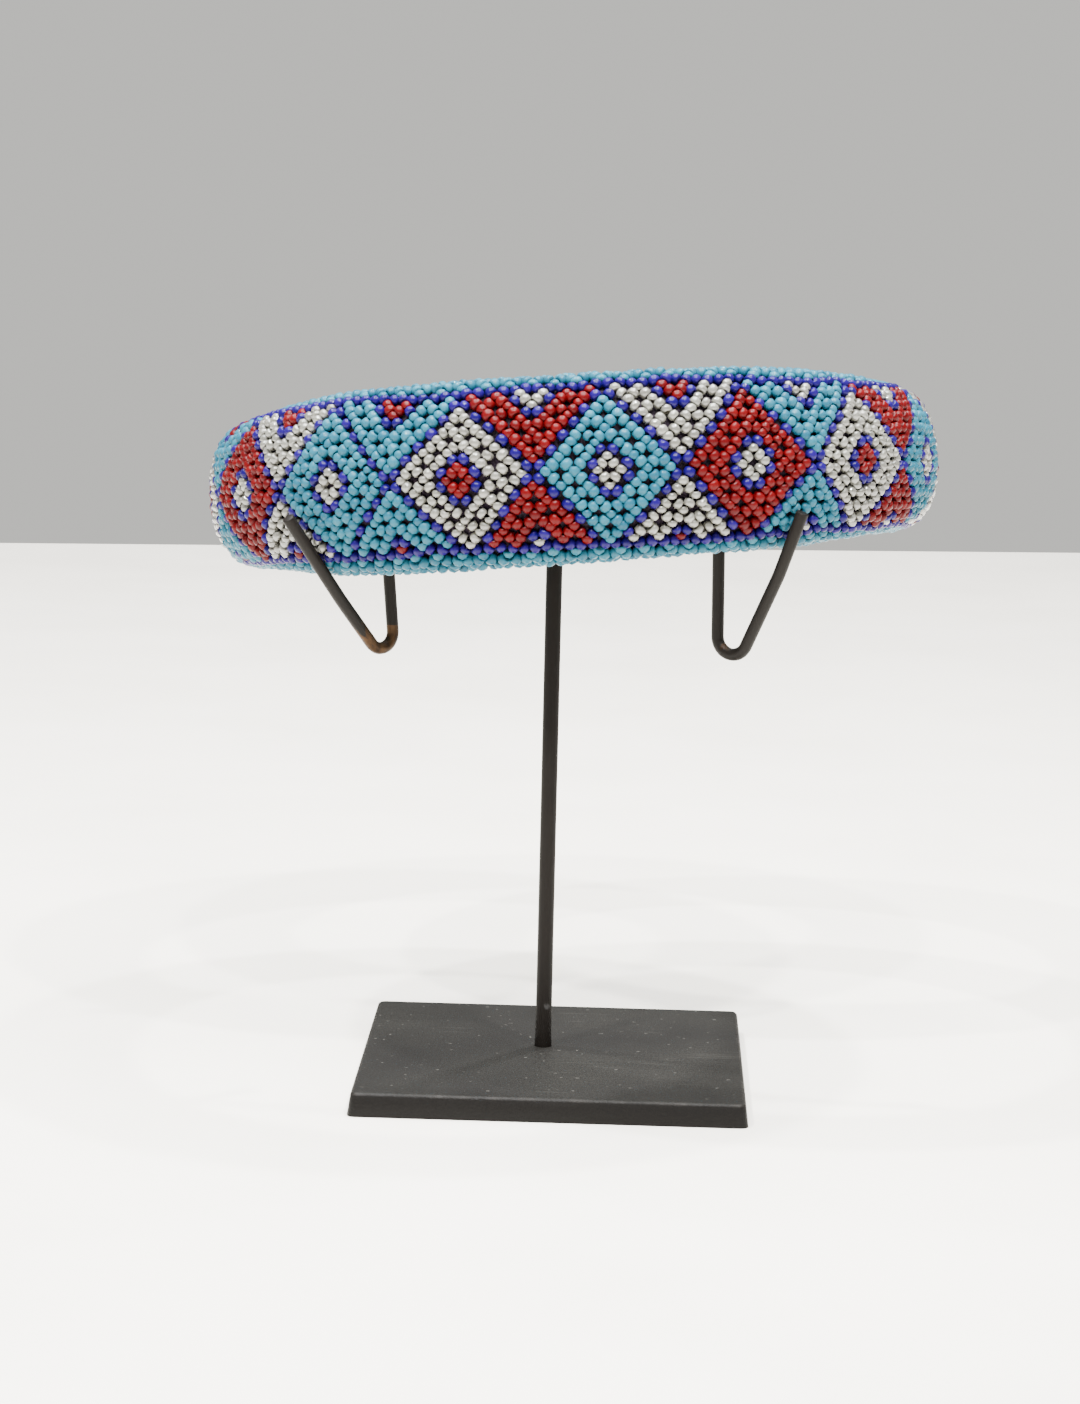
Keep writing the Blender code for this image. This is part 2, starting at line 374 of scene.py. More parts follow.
grid = grid_points(BEAD_DEPTH)
to_right, to_top, outward = neighbours(grid)
random = np.random.default_rng(16)
columns, rows = np.meshgrid(np.arange(2 * COLUMNS), np.arange(2 * ROWS), indexing="ij")
for direction in (unit(to_right), unit(to_top)):
    for wave in range(WAVES):
        turns = random.integers(8, 40) * columns / (2 * COLUMNS) + random.integers(-4, 5) * rows / (2 * ROWS)
        grid += direction * (WAVE_HEIGHT * np.sin(math.tau * (turns + random.random())))[..., None]
under_border = (row_numbers - HANGING_ROWS[0]) / (HANGING_ROWS[1] - HANGING_ROWS[0])
hanging = np.sin(math.pi * under_border.clip(0, 1)) ** 2
grid += outward * hangs[:, None, None] * hanging[None, :, None]
to_right, to_top, outward = neighbours(grid)
print("a column is", round(np.linalg.norm(to_right, axis=2).max() * 2000, 2), "mm wide at most")

# %% [markdown]
# The pattern, charted. Diamonds twelve columns wide run round the outer face. Each has an eye of
# eight beads in a dark-blue ring, and a dark-blue outline; the V shapes between the diamonds hold a small
# triangle at top and bottom. Dark-blue borders close the pattern, and the rims and the inner face are
# plain light blue. Distances from the diamond's centre, counted in beads, are all that the rules need.

# %% Chart of the pattern
B, D, R, W = "light_blue", "dark_blue", "red", "white"
DIAMONDS = (B, R, W, B, R, W, B, R, B, W, R, B, W, R, B, W)
EYES = (W, W, R, W, W, R, W, W, W, R, W, W, R, W, W, R)
VEES = (W, B, R, W, B, R, W, W, R, B, W, B, B, W, B, R)
INNER = (R, W, W, R, W, W, R, R, W, R, R, W, R, R, R, W)
DIAMOND_COLUMNS = COLUMNS // len(DIAMONDS)
TOP_BORDER = 6.5
BOTTOM_BORDER = -5.5


def bead_colour(column, row):
    """Colour of the bead at a column and row, both counted from the centre of the first diamond."""
    if row in (TOP_BORDER, BOTTOM_BORDER):
        return D
    if not BOTTOM_BORDER < row < TOP_BORDER:
        return B
    half = DIAMOND_COLUMNS / 2
    which = math.floor((column + half) / DIAMOND_COLUMNS)
    across = column - which * DIAMOND_COLUMNS
    steps = abs(across) + abs(row)
    which_vee = (which if across > 0 else which - 1) % len(DIAMONDS)
    which %= len(DIAMONDS)
    if steps <= half:
        if steps <= 1:
            return EYES[which]
        return D if steps in (2, half) else DIAMONDS[which]
    into_triangle = abs(row) - (half - abs(across))
    if into_triangle >= 5:
        return INNER[which_vee]
    return D if into_triangle == 4 else VEES[which_vee]


print("top to bottom through a V:", [bead_colour(6, row) for row in (5, 3, 1, -1, -3, -5)])

# %% [markdown]
# One bead. A seed bead is a slice of a drawn glass tube, melted round at its edges: nearly a ball, a
# little shorter than it is wide, with a thread hole along its length. It starts as a small sphere with
# few faces, because thousands will be laid. Its shoulders are filled out, and its two poles pushed in,
# which makes the mouths of the hole.

# %% Model one bead
BEAD_SIDES = 8
BEAD_RINGS = 6
UPPER_SHOULDER = 1.38
LOWER_SHOULDER = 1.10
HOLE_MOUTH = 0.45

deselect_all()
bpy.ops.mesh.primitive_uv_sphere_add(segments=BEAD_SIDES, ring_count=BEAD_RINGS, radius=1.0)
bead = bpy.context.object
bpy.ops.object.mode_set(mode="EDIT")
select_where("VERT", lambda cos: 0.7 < abs(cos[0].z) < 0.99)
bpy.ops.transform.resize(value=(UPPER_SHOULDER, UPPER_SHOULDER, 1.0))
select_where("VERT", lambda cos: 0.3 < abs(cos[0].z) < 0.7)
bpy.ops.transform.resize(value=(LOWER_SHOULDER, LOWER_SHOULDER, 1.0))
select_where("VERT", lambda cos: abs(cos[0].z) > 0.99)
bpy.ops.transform.resize(value=(1.0, 1.0, HOLE_MOUTH))
bpy.ops.object.mode_set(mode="OBJECT")
bead_points = np.array([vertex.co for vertex in bead.data.vertices])
bead_faces = [list(face.vertices) for face in bead.data.polygons]
bpy.data.objects.remove(bead, do_unlink=True)
print(len(bead_points), "points and", len(bead_faces), "faces in one bead")

# %% [markdown]
# The wire of the hooks, before the beads, because the net gives way where the wire grips it. One length
# makes both hooks: from the left tip down to the left bend, up behind the band, across the top of the
# post, and down and up again on the right. Its path runs through eight corners, each with its own radius.

# %% Path of the wire
WIRE_RADIUS = 0.00188
Corner = namedtuple("Corner", "x y z radius")
CORNERS = (
    Corner(-78.5, -20.5, 169.7, 0.0),
    Corner(-63.7, -7.6, 144.3, 30.0),
    Corner(-47.5, 5.9, 118.8, 4.8),
    Corner(-51.8, 5.9, 170.0, 6.0),
    Corner(48.9, -8.8, 170.0, 6.0),
    Corner(49.8, -8.8, 114.3, 5.2),
    Corner(66.7, -20.0, 156.5, 26.0),
    Corner(72.9, -23.8, 175.6, 0.0),
)
ARC_STEP = math.radians(7.5)


def rounded_path(corners):
    """Points along straight runs whose corners are rounded, in metres."""
    places = [Vector((c.x, c.y, c.z)) / 1000 for c in corners]
    path = [places[0]]
    for before, here, after, corner in zip(places, places[1:], places[2:], corners[1:]):
        back, ahead = (before - here).normalized(), (after - here).normalized()
        half_angle = back.angle(ahead) / 2
        radius = corner.radius / 1000
        centre = here + (back + ahead).normalized() * (radius / math.sin(half_angle))
        start = here + back * (radius / math.tan(half_angle))
        turn = math.pi - 2 * half_angle
        axis = back.cross(ahead).normalized()
        steps = max(2, round(turn / ARC_STEP))
        for k in range(steps + 1):
            path.append(centre + Matrix.Rotation(-turn * k / steps, 3, axis) @ (start - centre))
    return path + [places[-1]]


wire_path = np.array(rounded_path(CORNERS))
print("wire", round(np.linalg.norm(np.diff(wire_path, axis=0), axis=1).sum() * 1000), "mm long")

# %% [markdown]
# Laying the beads. Every bead gets three directions: out of the ring, along its thread, and across both.
# The hole of a node bead runs up and down, and that of a side bead along its diagonal. Where the grid is
# tighter, inside the ring, the beads are a touch smaller. Real beads are never alike, so each is moved,
# turned and sized a little by a seeded random draw, and beads under the wire are pushed off it. Each also
# carries a tone between 0 and 1, which the glass reads to vary its colour from bead to bead, and a painted
# shade, which is 1 in its hole and on the side that faces the core, where the neighbours and core shade it.

# %% Sizes of the beads
Cut = namedtuple("Cut", "width length")
CUTS = {B: Cut(0.00386, 0.00318), D: Cut(0.00370, 0.00304), R: Cut(0.00384, 0.00314), W: Cut(0.00374, 0.00282)}
NODE_SUNK = 0.00008
SIDE_PROUD = 0.00012
OFF_WIRE = 0.0001
NET_AS_DRAWN = 0.00275
STRAYS = 0.00009
SIZE_VARIES = 0.03
TURN_VARIES = math.radians(7)
Bead = namedtuple("Bead", "column row half_column half_row is_node colour")


# %% Lay the beads
def all_beads():
    """Every bead of the net, with its column and row counted from the first diamond's centre."""
    for half_column in range(2 * COLUMNS):
        for half_row in range(2 * ROWS):
            column, row = half_column / 2, half_row / 2 - ROWS / 2
            at_crossing = half_column % 2 == 0 and half_row % 2 == 0
            is_node = at_crossing and (half_column // 2 + int(row)) % 2 == 1
            if is_node or half_column % 2 and half_row % 2:
                yield Bead(column, row, half_column, half_row, is_node, bead_colour(column, row))


def on_grid(beads):
    return np.array([b.half_column for b in beads]), np.array([b.half_row for b in beads])


def bead_directions(beads):
    """Across, out and along the thread, for each bead, and how tight the net is there."""
    at = on_grid(beads)
    rising = np.array([(int(b.column - 0.5) + int(b.row - 0.5)) % 2 for b in beads])
    is_node = np.array([b.is_node for b in beads])[:, None]
    right, top = to_right[at], to_top[at]
    thread = np.where(is_node, top, right + top * np.where(rising == 1, 1.0, -1.0)[:, None])
    out = unit(outward[at] + random.normal(0, TURN_VARIES, right.shape))
    thread = unit(thread)
    thread = unit(thread - out * np.sum(thread * out, axis=1, keepdims=True))
    thread = unit(thread + np.cross(out, thread) * random.normal(0, TURN_VARIES, len(beads))[:, None])
    tight = np.clip(np.linalg.norm(right + top, axis=1) / NET_AS_DRAWN, 0.86, 1.0)
    return np.cross(out, thread), out, thread, tight


def bead_places(beads, out):
    lift = np.array([-NODE_SUNK if b.is_node else SIDE_PROUD for b in beads])
    return grid[on_grid(beads)] + out * lift[:, None] + random.normal(0, STRAYS, out.shape)


def push_off_wire(places, reach):
    """Move each place straight away from the wire until a ball of this reach is clear of it."""
    nearest, least = np.zeros_like(places), np.full(len(places), np.inf)
    for start, end in zip(wire_path, wire_path[1:]):
        run = end - start
        along = np.clip((places - start) @ run / (run @ run), 0, 1)
        point = start + along[:, None] * run
        distance = np.linalg.norm(places - point, axis=1)
        nearest[distance < least] = point[distance < least]
        least = np.minimum(distance, least)
    missing = np.clip(WIRE_RADIUS + reach + OFF_WIRE - least, 0, None)
    return places + (places - nearest) * (missing / least)[:, None]


def lay_beads(name, beads):
    """One mesh of all these beads, each a copy of the pattern bead."""
    across, out, thread, tight = bead_directions(beads)
    size = tight * random.normal(1.0, SIZE_VARIES, len(beads)).clip(0.9, 1.08)
    width = np.array([CUTS[b.colour].width for b in beads]) / 2 * size
    length = np.array([CUTS[b.colour].length for b in beads]) / 2 * size
    length *= random.normal(1.0, SIZE_VARIES, len(beads)).clip(0.9, 1.1)
    points = push_off_wire(bead_places(beads, out), width)[:, None, :]
    for axis, (direction, reach) in enumerate(((across, width), (out, width), (thread, length))):
        points = points + bead_points[None, :, axis, None] * (direction * reach[:, None])[:, None, :]
    count = len(bead_points)
    faces = [[index + k * count for index in face] for k in range(len(beads)) for face in bead_faces]
    mesh = bpy.data.meshes.new(name)
    mesh.from_pydata(points.reshape(-1, 3), [], faces)
    # Painted shade: 1 at the hole's mouths and on the side facing the core, where neighbours and core shade the
    # bead.
    hole = (np.linalg.norm(bead_points[:, :2], axis=1) < 0.01).astype(float)
    grime = np.maximum(hole, np.clip(-0.1 - 1.1 * bead_points[:, 1], 0, 1))
    tones = np.repeat(random.random(len(beads)), count)
    for attribute, values in (("tone", tones), ("grime", np.tile(grime, len(beads)))):
        made = mesh.attributes.new(attribute, "FLOAT", "POINT")
        made.data.foreach_set("value", values.astype(np.float32))
    mesh.shade_smooth()
    piece = bpy.data.objects.new(name, mesh)
    bpy.context.scene.collection.objects.link(piece)
    print(name, len(beads), "beads,", len(faces), "faces")
    return piece


# %% Sort the beads by colour and place
INNER_FROM = 11
PATTERN_NETS = {B: "net_light_blue", D: "net_dark_blue", R: "net_red", W: "net_white"}


def net_of(b):
    """Name of the piece that a bead belongs to."""
    if BOTTOM_BORDER <= b.row <= TOP_BORDER:
        return PATTERN_NETS[b.colour]
    place = "top" if b.row > 0 else "bottom"
    return f"net_{place}_rim" if abs(b.row) < INNER_FROM else f"net_{place}_inner"


sorted_beads = {}
for b in all_beads():
    sorted_beads.setdefault(net_of(b), []).append(b)
nets = {name: lay_beads(name, beads) for name, beads in sorted(sorted_beads.items())}
print(sum(map(len, sorted_beads.values())), "beads in all")

# %% [markdown]
# Glass. All four colours are opaque glass with a soft gloss, and one node group colours them: it mixes
# two shades by the bead's tone, clouds them a little, and paints shade in the hole and on the core side.
# It also roughens those parts. Red and white are shinier, the white a little pearly, and the light blue the most
# satin.

# %% Node group for bead glass
CLOUDS_PER_METRE = 420.0

# The third colour input is the painted shade for each bead's hole and its side facing the core.
bead_glass, given, result = new_group(
    "bead_glass",
    {"Dark": "Color", "Light": "Color", "Grime": "Color", "Gloss": "Float"},
    {"Color": "Color", "Roughness": "Float"},
)
place = node(bead_glass, "ShaderNodeTexCoord").outputs["Object"]
tone = node(bead_glass, "ShaderNodeAttribute", attribute_name="tone").outputs["Fac"]
# Painted shade, read from each bead: 1 in its hole and on its side facing the core.
grime = node(bead_glass, "ShaderNodeAttribute", attribute_name="grime").outputs["Fac"]
cloud = noise_mask(bead_glass, place, CLOUDS_PER_METRE, 0.35, 0.65)
share = math_node(bead_glass, "MULTIPLY", tone, 0.8)
share = math_node(bead_glass, "ADD", share, math_node(bead_glass, "MULTIPLY", cloud, 0.2))
shade = mix_colours(bead_glass, share, given["Dark"], given["Light"])
# The bead's colour is darkened towards the painted shade colour there, and those parts are made rougher.
bead_glass.links.new(mix_colours(bead_glass, grime, shade, given["Grime"]), result["Color"])
rough = math_node(bead_glass, "ADD", given["Gloss"], math_node(bead_glass, "MULTIPLY", grime, 0.4))
rough = math_node(bead_glass, "ADD", rough, math_node(bead_glass, "MULTIPLY", cloud, 0.08))
bead_glass.links.new(rough, result["Roughness"])

# %% Glass materials
Glass = namedtuple("Glass", "dark light grime roughness coat coat_ior")
# The third colour of each glass is the painted shade in the bead's hole and on its side facing the core.
GLASSES = {
    B: Glass((0.008, 0.066, 0.106, 1), (0.018, 0.114, 0.160, 1), (0.004, 0.022, 0.032, 1), 0.30, 0.08, 1.5),
    D: Glass((0.004, 0.000, 0.058, 1), (0.011, 0.002, 0.098, 1), (0.004, 0.001, 0.025, 1), 0.26, 0.08, 1.5),
    R: Glass((0.050, 0.0002, 0.001, 1), (0.094, 0.001, 0.002, 1), (0.036, 0.0004, 0.001, 1), 0.32, 0.02, 1.5),
    W: Glass((0.092, 0.089, 0.076, 1), (0.160, 0.157, 0.138, 1), (0.038, 0.031, 0.021, 1), 0.14, 1.0, 1.9),
}
COAT_ROUGHNESS = 0.06
GLASS_MIRRORS = 0.12

glass = {}
for colour, made in GLASSES.items():
    glass[colour], tree, shader = new_material(
        f"glass_{colour}", made.roughness, Coat_Weight=made.coat, Coat_IOR=made.coat_ior,
        Coat_Roughness=COAT_ROUGHNESS, Specular_IOR_Level=GLASS_MIRRORS)
    placed = place_group(tree, bead_glass, {
        "Dark": made.dark, "Light": made.light, "Grime": made.grime, "Gloss": made.roughness})
    tree.links.new(placed["Color"], shader.inputs["Base Color"])
    tree.links.new(placed["Roughness"], shader.inputs["Roughness"])
colour_of = {name: colour for colour, name in PATTERN_NETS.items()}
for name, net in nets.items():
    cover(net, glass[colour_of.get(name, B)])
print(len(glass), "kinds of glass on", len(nets), "pieces")

# %% [markdown]
# Under the net lies the padded core, a roll of dark cloth. It shows only as black in the holes of the
# net, but it has to be there, so that no light comes through. Its form is the band's own, a little
# smaller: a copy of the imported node, merged into one skin and shrunk along its normals until the beads
# just rest on it. The cloth is a plain weave of very dark brown thread.

# %% Padded core
CORE_DEPTH = 0.0027
MERGE = 0.00001

deselect_all()
core = frame["nodes"]["beaded_band"].copy()
core.data = core.data.copy()
core.name = "padded_core"
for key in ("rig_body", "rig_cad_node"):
    del core[key]
core.parent = None
bpy.context.scene.collection.objects.link(core)
bpy.context.view_layer.objects.active = core
core.select_set(True)
bpy.ops.object.mode_set(mode="EDIT")
bpy.ops.mesh.select_all(action="SELECT")
bpy.ops.mesh.remove_doubles(threshold=MERGE)
bpy.ops.mesh.normals_make_consistent(inside=False)
bpy.ops.transform.shrink_fatten(value=-CORE_DEPTH)
bpy.ops.object.mode_set(mode="OBJECT")
core.data.shade_smooth()
print("core", [round(side * 1000, 1) for side in core.dimensions], "mm")

# %% Cloth of the core
CLOTH_DARK = (0.009, 0.006, 0.009, 1)
CLOTH_LIGHT = (0.026, 0.017, 0.028, 1)
THREADS_PER_METRE = 1200.0

core_cloth, tree, shader = new_material("core_cloth", 0.9, Specular_IOR_Level=0.1)
place = node(tree, "ShaderNodeTexCoord").outputs["Object"]
weave = noise_mask(tree, place, THREADS_PER_METRE, 0.4, 0.6)
tree.links.new(mix_colours(tree, weave, CLOTH_DARK, CLOTH_LIGHT), shader.inputs["Base Color"])
bump = node(tree, "ShaderNodeBump", {"Height": weave, "Strength": 0.5, "Distance": 0.0003})
tree.links.new(bump.outputs["Normal"], shader.inputs["Normal"])
cover(core, core_cloth)

# %% [markdown]
# The base plate is a square of steel bar whose sides lean out a little towards the foot. A cube is
# pulled to size, its top drawn in, and three sets of edges are rounded: the corners, the rim and the
# foot. A hole in the middle seats the post. Points on the rim carry a value for the worn paint there.

# %% Model the base plate
BASE_WIDTH = 0.1169
BASE_TOP_WIDTH = 0.1149
BASE_THICKNESS = 0.0070
BASE_CENTRE = Vector((0.0032, -0.0050, 0.0))
CORNER_ROUND = 0.0022
RIM_ROUND = 0.0010
FOOT_ROUND = 0.0003
HAIR = 0.00001

deselect_all()
bpy.ops.mesh.primitive_cube_add(size=1.0)
base = bpy.context.object
base.name = "base_plate"
bpy.ops.object.mode_set(mode="EDIT")
bpy.ops.transform.resize(value=(BASE_WIDTH, BASE_WIDTH, BASE_THICKNESS))
bpy.ops.transform.translate(value=BASE_CENTRE + Vector((0, 0, BASE_THICKNESS / 2)))
select_where("FACE", lambda cos: all(co.z > BASE_THICKNESS / 2 for co in cos))
drawn_in = BASE_TOP_WIDTH / BASE_WIDTH
bpy.ops.transform.resize(value=(drawn_in, drawn_in, 1.0), center_override=BASE_CENTRE)
select_where("EDGE", lambda cos: abs(cos[0].z - cos[1].z) > BASE_THICKNESS / 2)
bpy.ops.mesh.bevel(offset=CORNER_ROUND, segments=4, affect="EDGES")
select_where("EDGE", lambda cos: all(co.z > BASE_THICKNESS - HAIR for co in cos))
bpy.ops.mesh.bevel(offset=RIM_ROUND, segments=3, affect="EDGES")
select_where("EDGE", lambda cos: all(co.z < HAIR for co in cos))
bpy.ops.mesh.bevel(offset=FOOT_ROUND, segments=2, affect="EDGES")
bpy.ops.object.mode_set(mode="OBJECT")
print("base plate", [round(side * 1000, 1) for side in base.dimensions], "mm")

# %% Bore the seat and mark the rim
SEAT_RADIUS = 0.00268
SEAT_DEPTH = 0.0035

deselect_all()
bpy.ops.mesh.primitive_cylinder_add(
    vertices=32, radius=SEAT_RADIUS, depth=2 * SEAT_DEPTH, location=(0, 0, BASE_THICKNESS))
cutter = bpy.context.object
deselect_all()
base.select_set(True)
apply_modifier(base, "BOOLEAN", object=cutter, operation="DIFFERENCE", solver="EXACT")
bpy.data.objects.remove(cutter, do_unlink=True)
bpy.ops.object.shade_smooth_by_angle(angle=math.radians(40))

rim = base.data.attributes.new("rim", "FLOAT", "POINT")
for vertex in base.data.vertices:
    off = vertex.co - BASE_CENTRE
    in_from_side = BASE_TOP_WIDTH / 2 - max(abs(off.x), abs(off.y))
    below_top = BASE_THICKNESS - vertex.co.z
    rim.data[vertex.index].value = float(HAIR < below_top < 0.9 * RIM_ROUND and in_from_side < 0.9 * RIM_ROUND)
print("base plate", len(base.data.polygons), "faces,", sum(d.value > 0 for d in rim.data), "rim points")

# %% [markdown]
# Black paint on steel, as on the plate, the post and the wire. It gathers dust where it faces up, in
# clouds that fingers have wiped, with specks of lint and fine scratches, and it wears through along the
# rim. The dust and the scratches are one node group, since both the plate and the wire need them.

# %% Node group for dusty paint
DUST_CLOUDS = 17.0
DUST_GRAIN = 1400.0
LINT_SPECKS = 620.0
SCRATCH_STRETCH = (35, 1500, 1)
SCRATCH_TURN = (0, 0, 0.6)

dusty_paint, given, result = new_group(
    "dusty_paint",
    {"Paint": "Color", "Dust": "Color", "Lint": "Color", "Amount": "Float"},
    {"Color": "Color", "Roughness": "Float", "Height": "Float"},
)
place = node(dusty_paint, "ShaderNodeTexCoord").outputs["Object"]
normal = node(dusty_paint, "ShaderNodeNewGeometry").outputs["Normal"]
facing_up = node(dusty_paint, "ShaderNodeSeparateXYZ", {0: normal}).outputs["Z"]
facing_up = ramp_node(dusty_paint, facing_up, 0.2, 0.95)
clouds = noise_mask(dusty_paint, place, DUST_CLOUDS, 0.30, 0.68, detail=5.0)
grain = noise_mask(dusty_paint, place, DUST_GRAIN, 0.35, 0.65)
grainy = math_node(dusty_paint, "ADD", math_node(dusty_paint, "MULTIPLY", grain, 0.8), 0.3)
dust = math_node(dusty_paint, "MULTIPLY", clouds, grainy)
dust = math_node(dusty_paint, "MULTIPLY", dust, facing_up)
dust = math_node(dusty_paint, "MULTIPLY", dust, given["Amount"])

specks = noise_mask(dusty_paint, place, LINT_SPECKS, 0.80, 0.86, detail=0.0)
turned = node(dusty_paint, "ShaderNodeMapping", {
    "Vector": place, "Rotation": SCRATCH_TURN, "Scale": SCRATCH_STRETCH}).outputs[0]
scratches = noise_mask(dusty_paint, turned, 1.0, 0.70, 0.80, detail=0.0)
scratches = math_node(dusty_paint, "MULTIPLY", scratches, noise_mask(dusty_paint, place, 30.0, 0.55, 0.65))
scratches = math_node(dusty_paint, "MULTIPLY", scratches, 0.6)
marks = math_node(dusty_paint, "MAXIMUM", specks, scratches)
marks = math_node(dusty_paint, "MULTIPLY", marks, math_node(dusty_paint, "MULTIPLY", facing_up, given["Amount"]))

shade = mix_colours(dusty_paint, dust, given["Paint"], given["Dust"])
dusty_paint.links.new(mix_colours(dusty_paint, marks, shade, given["Lint"]), result["Color"])
rough = math_node(dusty_paint, "ADD", math_node(dusty_paint, "MULTIPLY", dust, 0.25), 0.5)
dusty_paint.links.new(rough, result["Roughness"])
dusty_paint.links.new(grain, result["Height"])
print("dusty_paint has", len(dusty_paint.nodes), "nodes")

# %% Paint of the base plate
BASE_PAINT = (0.0031, 0.0026, 0.0023, 1)
DUST_GREY = (0.0128, 0.0121, 0.0102, 1)
LINT = (0.045, 0.043, 0.038, 1)
WORN_RIM = (0.019, 0.017, 0.015, 1)

plate_paint, tree, shader = new_material("plate_paint", 0.6, Specular_IOR_Level=0.12)
placed = place_group(tree, dusty_paint, {"Paint": BASE_PAINT, "Dust": DUST_GREY, "Lint": LINT, "Amount": 1.0})
place = node(tree, "ShaderNodeTexCoord").outputs["Object"]
rim_value = node(tree, "ShaderNodeAttribute", attribute_name="rim").outputs["Fac"]
worn = math_node(tree, "MULTIPLY", rim_value, noise_mask(tree, place, 130.0, 0.46, 0.76, detail=4.0))
tree.links.new(mix_colours(tree, worn, placed["Color"], WORN_RIM), shader.inputs["Base Color"])
tree.links.new(placed["Roughness"], shader.inputs["Roughness"])
bump = node(tree, "ShaderNodeBump", {"Height": placed["Height"], "Strength": 0.25, "Distance": 0.0002})
tree.links.new(bump.outputs["Normal"], shader.inputs["Normal"])
cover(base, plate_paint)

# %% [markdown]
# The post is a round steel rod that stands in the plate's seat. It swells a little at its foot, where the
# paint has run together. A cylinder gives it, with three rings cut in near the foot.

# %% Model the post
POST_RADIUS = 0.00244
BAR_HEIGHT = 0.1700
POST_FOOT = 0.0038
SWELL = 1.06

deselect_all()
bpy.ops.mesh.primitive_cylinder_add(
    vertices=32, radius=POST_RADIUS, depth=BAR_HEIGHT - POST_FOOT, location=(0, 0, (BAR_HEIGHT + POST_FOOT) / 2))
post = bpy.context.object
post.name = "post"
bpy.ops.object.transform_apply(location=True, rotation=True, scale=True)
bpy.ops.object.mode_set(mode="EDIT")
for height in (0.0002, 0.0012, 0.0032):
    bpy.ops.mesh.select_all(action="SELECT")
    bpy.ops.mesh.bisect(plane_co=(0, 0, BASE_THICKNESS + height), plane_no=(0, 0, 1))
select_where("VERT", lambda cos: 0.0001 < cos[0].z - BASE_THICKNESS < 0.0013)
bpy.ops.transform.resize(value=(SWELL, SWELL, 1.0), center_override=(0, 0, BASE_THICKNESS))
bpy.ops.object.mode_set(mode="OBJECT")
apply_modifier(post, "BEVEL", width=0.0004, segments=2, limit_method="ANGLE", angle_limit=math.radians(60))
bpy.ops.object.shade_smooth_by_angle(angle=math.radians(40))
print("post", len(post.data.polygons), "faces")

# %% [markdown]
# The wire that makes both hooks. Its path is known already, so it becomes a curve with a round bevel, and
# the curve becomes a mesh. The two cut ends are filed round, which a small bevel of their edges gives.

# %% Model the wire
deselect_all()
curve = bpy.data.curves.new("hook_wire", "CURVE")
curve.dimensions = "3D"
curve.bevel_depth = WIRE_RADIUS
curve.bevel_resolution = 4
curve.use_fill_caps = True
spline = curve.splines.new("POLY")
spline.points.add(len(wire_path) - 1)
for point, place in zip(spline.points, wire_path):
    point.co = (*place, 1.0)
wire = bpy.data.objects.new("hook_wire", curve)
bpy.context.scene.collection.objects.link(wire)
bpy.context.view_layer.objects.active = wire
wire.select_set(True)
bpy.ops.object.convert(target="MESH")
bpy.ops.object.mode_set(mode="EDIT")
bpy.ops.mesh.select_all(action="SELECT")
bpy.ops.mesh.remove_doubles(threshold=MERGE)
bpy.ops.mesh.normals_make_consistent(inside=False)
bpy.ops.object.mode_set(mode="OBJECT")
apply_modifier(wire, "BEVEL", width=0.00035, segments=2, limit_method="ANGLE", angle_limit=math.radians(60))
bpy.ops.object.shade_smooth_by_angle(angle=math.radians(40))
print("wire", len(wire.data.polygons), "faces")

# %% [markdown]
# Where the wire crosses the top of the post, brazing metal has run round the joint. It is a small ball
# squashed over the crossing and made lumpy by noise, hidden behind the band and seen only from the back.

# %% Model the brazed joint
JOINT_SIZE = Vector((0.0062, 0.0042, 0.0036))
LUMP = 0.0005
LUMPS_PER_METRE = 450.0

left_end, right_end = (Vector((c.x, c.y, c.z)) / 1000 for c in CORNERS[3:5])
joint_place = left_end.lerp(right_end, -left_end.x / (right_end.x - left_end.x))
deselect_all()
bpy.ops.mesh.primitive_ico_sphere_add(subdivisions=4, radius=1.0)
joint = bpy.context.object
joint.name = "brazed_joint"
bar_turn = Matrix.Rotation(math.atan2(right_end.y - left_end.y, right_end.x - left_end.x), 3, "Z")
for vertex in joint.data.vertices:
    place = bar_turn @ (vertex.co * JOINT_SIZE)
    vertex.co = joint_place + place + place.normalized() * LUMP * noise.noise(place * LUMPS_PER_METRE)
joint.data.shade_smooth()
print("joint at", [round(x * 1000, 1) for x in joint_place])

# %% [markdown]
# The paint of the rod and wire is nearly black, with a little dust. In the left bend it has flaked off
# and shows brown, copper-coloured metal: cut off sharply on the leg behind, and fading in streaks on the
# arm in front. The right bend has one rust spot, and the post one pale spot near its foot. Each bare
# place is a mask made from Object coordinates, so it stays where it is whatever the mesh.


# %% Masks for bare metal
def near(tree, place, centre, size):
    """A soft spot: 1 at the centre, fading to 0 a size away, with a ragged edge."""
    offset = node(tree, "ShaderNodeVectorMath", {0: place, 1: centre}, operation="DISTANCE").outputs["Value"]
    ragged = math_node(tree, "MULTIPLY", noise_mask(tree, place, 900.0, 0.3, 0.7), 0.6 * size)
    return ramp_node(tree, math_node(tree, "ADD", offset, ragged), size, 0.6 * size)


def below(tree, height, level, softness):
    return ramp_node(tree, math_node(tree, "SUBTRACT", level, height), 0.0, softness)


# %% Paint and bare metal of the rod and wire
ROD_PAINT = (0.0050, 0.0038, 0.0030, 1)
ROD_DUST = (0.009, 0.0075, 0.006, 1)
BARE_DARK = (0.012, 0.0065, 0.0035, 1)
BARE_LIGHT = (0.075, 0.040, 0.018, 1)
PALE_SPOT = (0.030, 0.029, 0.028, 1)
LEG_EDGE = 0.1354
ARM_EDGE = 0.1315
ARM_OUTWARD = (-0.837, 0.0, -0.546)
ARM_MIDDLE = -0.0254
EDGE_CLIMBS = 3.4
STREAKS = 0.0030
LEG_BEHIND_Y = 0.0018
RIGHT_RUST = (0.0517, -0.0104, 0.1333)
POST_PALE_SPOT = (0.0009, -0.0023, 0.0197)

